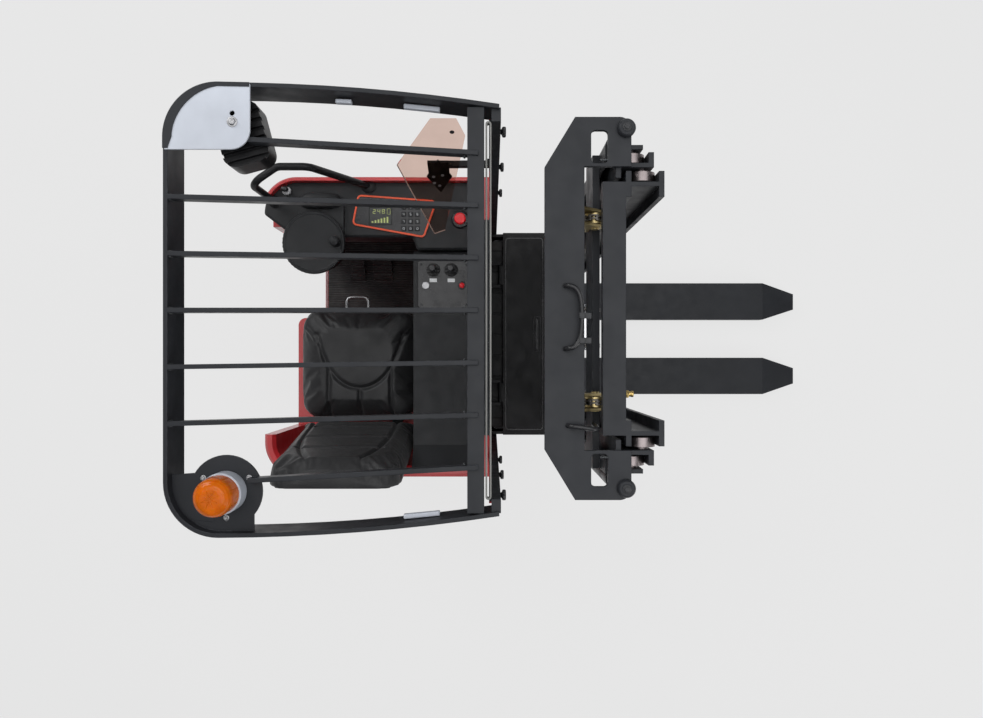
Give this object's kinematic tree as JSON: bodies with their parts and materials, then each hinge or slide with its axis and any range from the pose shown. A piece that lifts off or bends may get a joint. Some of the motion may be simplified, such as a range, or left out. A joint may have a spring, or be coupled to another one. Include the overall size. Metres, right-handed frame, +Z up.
{
  "type": "sit-on pallet stacker",
  "caption": "Sit-on electric pallet stacker with overhead guard, hollow cab with sideways seat, battery bay, three-stage lifting mast, forks over support legs and castors.",
  "frame": {"origin": "on the ground, at the middle of the truck's length and width", "axes": "+X towards the fork tips, +Y the way the operator faces, +Z up"},
  "size_m": [2.364, 1.05, 2.278],
  "materials": {
    "red_paint": "satin powder coat",
    "slate_paint": "satin powder coat",
    "black_paint": "satin powder coat",
    "grey_paint": "satin powder coat",
    "dark_plastic": "fine moulded grain",
    "gloss_black": "smooth",
    "orange_plastic": "smooth",
    "stop_red": "smooth",
    "silver": "satin",
    "leatherette": "fine grain, sewn channels",
    "mat_rubber": "ribbed",
    "clear_screen": "clear polycarbonate",
    "tinted_sheet": "tinted acrylic",
    "amber_lens": "ribbed lens",
    "battery_case": "plain",
    "roller_steel": "ground",
    "zinc_yellow": "yellow zinc plate",
    "rod_chrome": "hard chrome",
    "chain_steel": "oiled",
    "wheel_tread": "polyurethane",
    "cast_drive": "painted casting"
  },
  "bodies": {
    "chassis": {"chassis_base": "red_paint", "cowl_panel": "red_paint", "hood_panel": "red_paint", "bulkhead_panel": "slate_paint", "seat_box": "red_paint", "floor_mat": "mat_rubber", "pedals": "mat_rubber", "console": "dark_plastic", "control_levers": "gloss_black", "console_buttons": "silver", "dash": "dark_plastic", "display_rim": "orange_plastic", "display_panel": "gloss_black", "stop_button": "stop_red", "grab_handle": "black_paint", "seat_base": "black_paint", "seat_cushion": "leatherette", "seat_back": "leatherette", "guard_frame": "slate_paint", "lamp_plate": "grey_paint", "front_screen": "clear_screen", "screen_knobs": "gloss_black", "work_lamp": "black_paint", "beacon_base": "grey_paint", "beacon_dome": "amber_lens", "tinted_plate": "tinted_sheet", "plate_arm": "black_paint", "battery_tray": "black_paint", "battery": "battery_case", "lid_hinges": "roller_steel", "mast_outer": "slate_paint", "outer_rollers": "roller_steel", "lift_barrels": "slate_paint", "lift_chain_anchors": "zinc_yellow", "support_legs": "slate_paint"},
    "steering_wheel": {"steering_wheel": "dark_plastic"},
    "battery_lid": {"battery_lid": "black_paint"},
    "drive_unit": {"drive_unit": "cast_drive"},
    "drive_wheel": {"drive_wheel": "wheel_tread"},
    "castor_fork": {"castor_fork": "cast_drive"},
    "castor_wheels": {"castor_wheels": "wheel_tread"},
    "mast_middle": {"mast_middle": "slate_paint", "middle_rollers": "roller_steel", "lift_rods": "rod_chrome", "lift_sheaves": "roller_steel", "lift_chains": "chain_steel"},
    "mast_inner": {"mast_inner": "slate_paint", "inner_rollers": "roller_steel", "free_barrel": "slate_paint"},
    "carriage": {"carriage": "slate_paint", "carriage_rollers": "roller_steel", "forks": "slate_paint"},
    "sheave_head": {"sheave_head": "rod_chrome", "free_chains": "chain_steel"},
    "load_wheel_right_tip": {"load_wheel_right_tip": "wheel_tread"},
    "load_wheel_right_heel": {"load_wheel_right_heel": "wheel_tread"},
    "load_wheel_left_tip": {"load_wheel_left_tip": "wheel_tread"},
    "load_wheel_left_heel": {"load_wheel_left_heel": "wheel_tread"}
  },
  "joints": [
    {"name": "steering_turn", "type": "hinge", "parent": "chassis", "child": "steering_wheel", "pos_m": [-0.997, 0.293, 1.3], "axis": [0, 0, 1], "continuous": true},
    {"name": "battery_lid_hinge", "type": "hinge", "parent": "chassis", "child": "battery_lid", "pos_m": [-0.346, 0, 0.746], "axis": [0, -1, 0], "range_deg": [0, 85]},
    {"name": "drive_steer", "type": "hinge", "parent": "chassis", "child": "drive_unit", "pos_m": [-0.852, -0.23, 0.3], "axis": [0, 0, 1], "range_deg": [-90, 90]},
    {"name": "drive_wheel_spin", "type": "hinge", "parent": "drive_unit", "child": "drive_wheel", "pos_m": [-0.852, -0.23, 0.115], "axis": [0, 1, 0], "continuous": true},
    {"name": "castor_swivel", "type": "hinge", "parent": "chassis", "child": "castor_fork", "pos_m": [-0.852, 0.3, 0.25], "axis": [0, 0, 1], "continuous": true},
    {"name": "castor_wheel_spin", "type": "hinge", "parent": "castor_fork", "child": "castor_wheels", "pos_m": [-0.897, 0.3, 0.075], "axis": [0, 1, 0], "continuous": true},
    {"name": "mast_middle_lift", "type": "slide", "parent": "chassis", "child": "mast_middle", "axis": [0, 0, 1], "range_m": [0, 1.45], "deforming": ["lift_chains"]},
    {"name": "mast_inner_lift", "type": "slide", "parent": "mast_middle", "child": "mast_inner", "axis": [0, 0, 1], "range_m": [0, 1.45]},
    {"name": "carriage_lift", "type": "slide", "parent": "mast_inner", "child": "carriage", "axis": [0, 0, 1], "range_m": [0, 1.5]},
    {"name": "sheave_lift", "type": "slide", "parent": "mast_inner", "child": "sheave_head", "axis": [0, 0, 1], "range_m": [0, 0.75], "deforming": ["free_chains"]},
    {"name": "load_wheel_right_tip_spin", "type": "hinge", "parent": "chassis", "child": "load_wheel_right_tip", "pos_m": [0.947, -0.1915, 0.04], "axis": [0, 1, 0], "continuous": true},
    {"name": "load_wheel_right_heel_spin", "type": "hinge", "parent": "chassis", "child": "load_wheel_right_heel", "pos_m": [0.851, -0.1915, 0.04], "axis": [0, 1, 0], "continuous": true},
    {"name": "load_wheel_left_tip_spin", "type": "hinge", "parent": "chassis", "child": "load_wheel_left_tip", "pos_m": [0.947, 0.1915, 0.04], "axis": [0, 1, 0], "continuous": true},
    {"name": "load_wheel_left_heel_spin", "type": "hinge", "parent": "chassis", "child": "load_wheel_left_heel", "pos_m": [0.851, 0.1915, 0.04], "axis": [0, 1, 0], "continuous": true}
  ],
  "couplings": [
    {"joint": "mast_inner_lift", "follows": "mast_middle_lift", "ratio": 1},
    {"joint": "sheave_lift", "follows": "carriage_lift", "ratio": 0.5}
  ]
}
